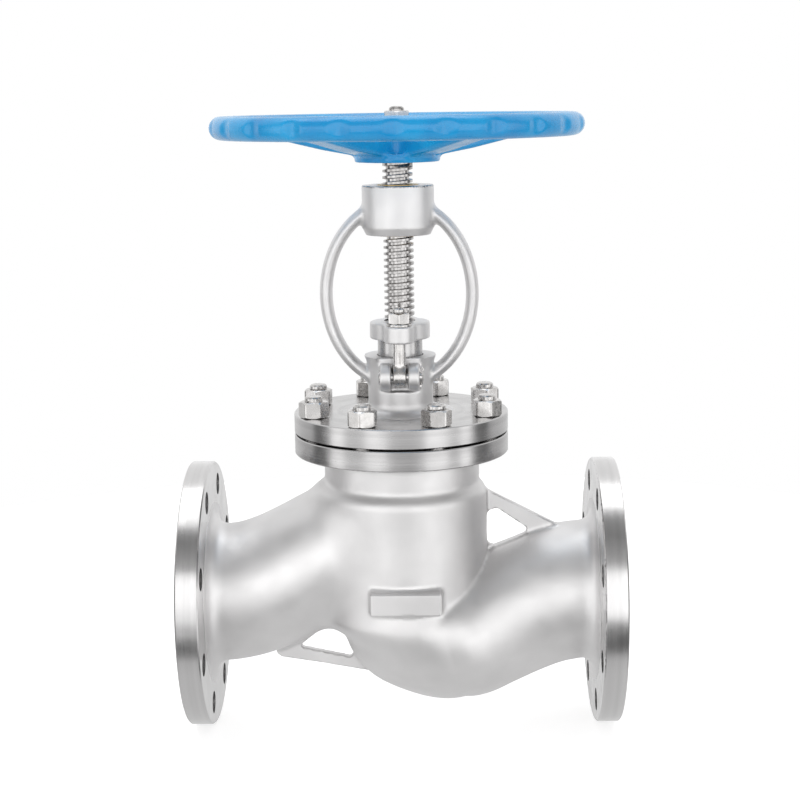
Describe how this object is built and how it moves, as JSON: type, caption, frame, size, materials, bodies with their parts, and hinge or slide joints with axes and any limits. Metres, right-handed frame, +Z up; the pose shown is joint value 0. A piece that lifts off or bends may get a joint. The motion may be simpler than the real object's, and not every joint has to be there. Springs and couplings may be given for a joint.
{
  "type": "globe valve",
  "caption": "Flanged globe valve in cast stainless steel with bolted bonnet, ring yoke, rising threaded stem, eyebolt gland and blue handwheel.",
  "frame": {"origin": "centre of the left port's raised face, on the pipe axis", "axes": "+X along the pipe axis, from the left port to the right port; +Z up the stem towards the handwheel; +Y towards the back"},
  "size_m": [0.35, 0.293, 0.4995],
  "materials": {
    "cast_stainless": "satin, bead blasted casting",
    "machined_stainless": "turned and faced, bright",
    "polished_stainless": "polished fasteners and stem",
    "graphite": "pressed graphite, dull black",
    "nut_alloy": "turned aluminium bronze",
    "blue_paint": "glossy blue enamel",
    "hard_face": "lapped hard facing"
  },
  "bodies": {
    "valve_body": {"body": "cast_stainless", "seat_ring": "hard_face", "body_gasket": "graphite", "bonnet": "cast_stainless", "bonnet_studs": "polished_stainless", "bonnet_nuts": "polished_stainless", "back_seat_bush": "hard_face", "packing_washer": "machined_stainless", "packing_ring_1": "graphite", "packing_ring_2": "graphite", "packing_ring_3": "graphite", "packing_ring_4": "graphite", "packing_ring_5": "graphite", "eyebolt_front": "polished_stainless", "eyebolt_back": "polished_stainless", "eyebolt_pin_front": "polished_stainless", "eyebolt_pin_back": "polished_stainless", "split_pins": "polished_stainless", "stem_nut": "nut_alloy", "stem_nut_screw": "polished_stainless"},
    "plug": {"disc": "machined_stainless", "disc_thrust_pad": "hard_face", "disc_split_ring": "machined_stainless", "disc_nut": "machined_stainless", "disc_nut_pin": "polished_stainless"},
    "spindle": {"stem": "polished_stainless", "handwheel": "blue_paint", "handwheel_washer": "polished_stainless", "handwheel_nut": "polished_stainless"},
    "gland": {"gland_flange": "machined_stainless", "gland_follower": "machined_stainless", "gland_washers": "polished_stainless"},
    "front_nut": {"gland_nut_front": "polished_stainless"},
    "back_nut": {"gland_nut_back": "polished_stainless"}
  },
  "joints": [
    {"name": "stem_lift", "type": "slide", "parent": "valve_body", "child": "plug", "axis": [0, 0, 1], "range_m": [0, 0.028]},
    {"name": "handwheel_turn", "type": "hinge", "parent": "plug", "child": "spindle", "pos_m": [0.175, 0, 0.377], "axis": [0, 0, 1], "range_deg": [0, 2016]},
    {"name": "gland_take_up", "type": "slide", "parent": "valve_body", "child": "gland", "axis": [0, 0, 1], "range_m": [-0.006, 0], "deforming": ["packing_ring_1", "packing_ring_2", "packing_ring_3", "packing_ring_4", "packing_ring_5"]},
    {"name": "gland_nut_front_turn", "type": "hinge", "parent": "gland", "child": "front_nut", "pos_m": [0.175, -0.03, 0.228], "axis": [0, 0, 1], "range_deg": [-1440, 0]},
    {"name": "gland_nut_back_turn", "type": "hinge", "parent": "gland", "child": "back_nut", "pos_m": [0.175, 0.03, 0.228], "axis": [0, 0, 1], "range_deg": [-1440, 0]}
  ],
  "couplings": [
    {"joint": "stem_lift", "follows": "handwheel_turn", "m_per_rad": 0.00079577},
    {"joint": "gland_nut_front_turn", "follows": "gland_take_up", "rad_per_m": 4188.8},
    {"joint": "gland_nut_back_turn", "follows": "gland_take_up", "rad_per_m": 4188.8}
  ]
}
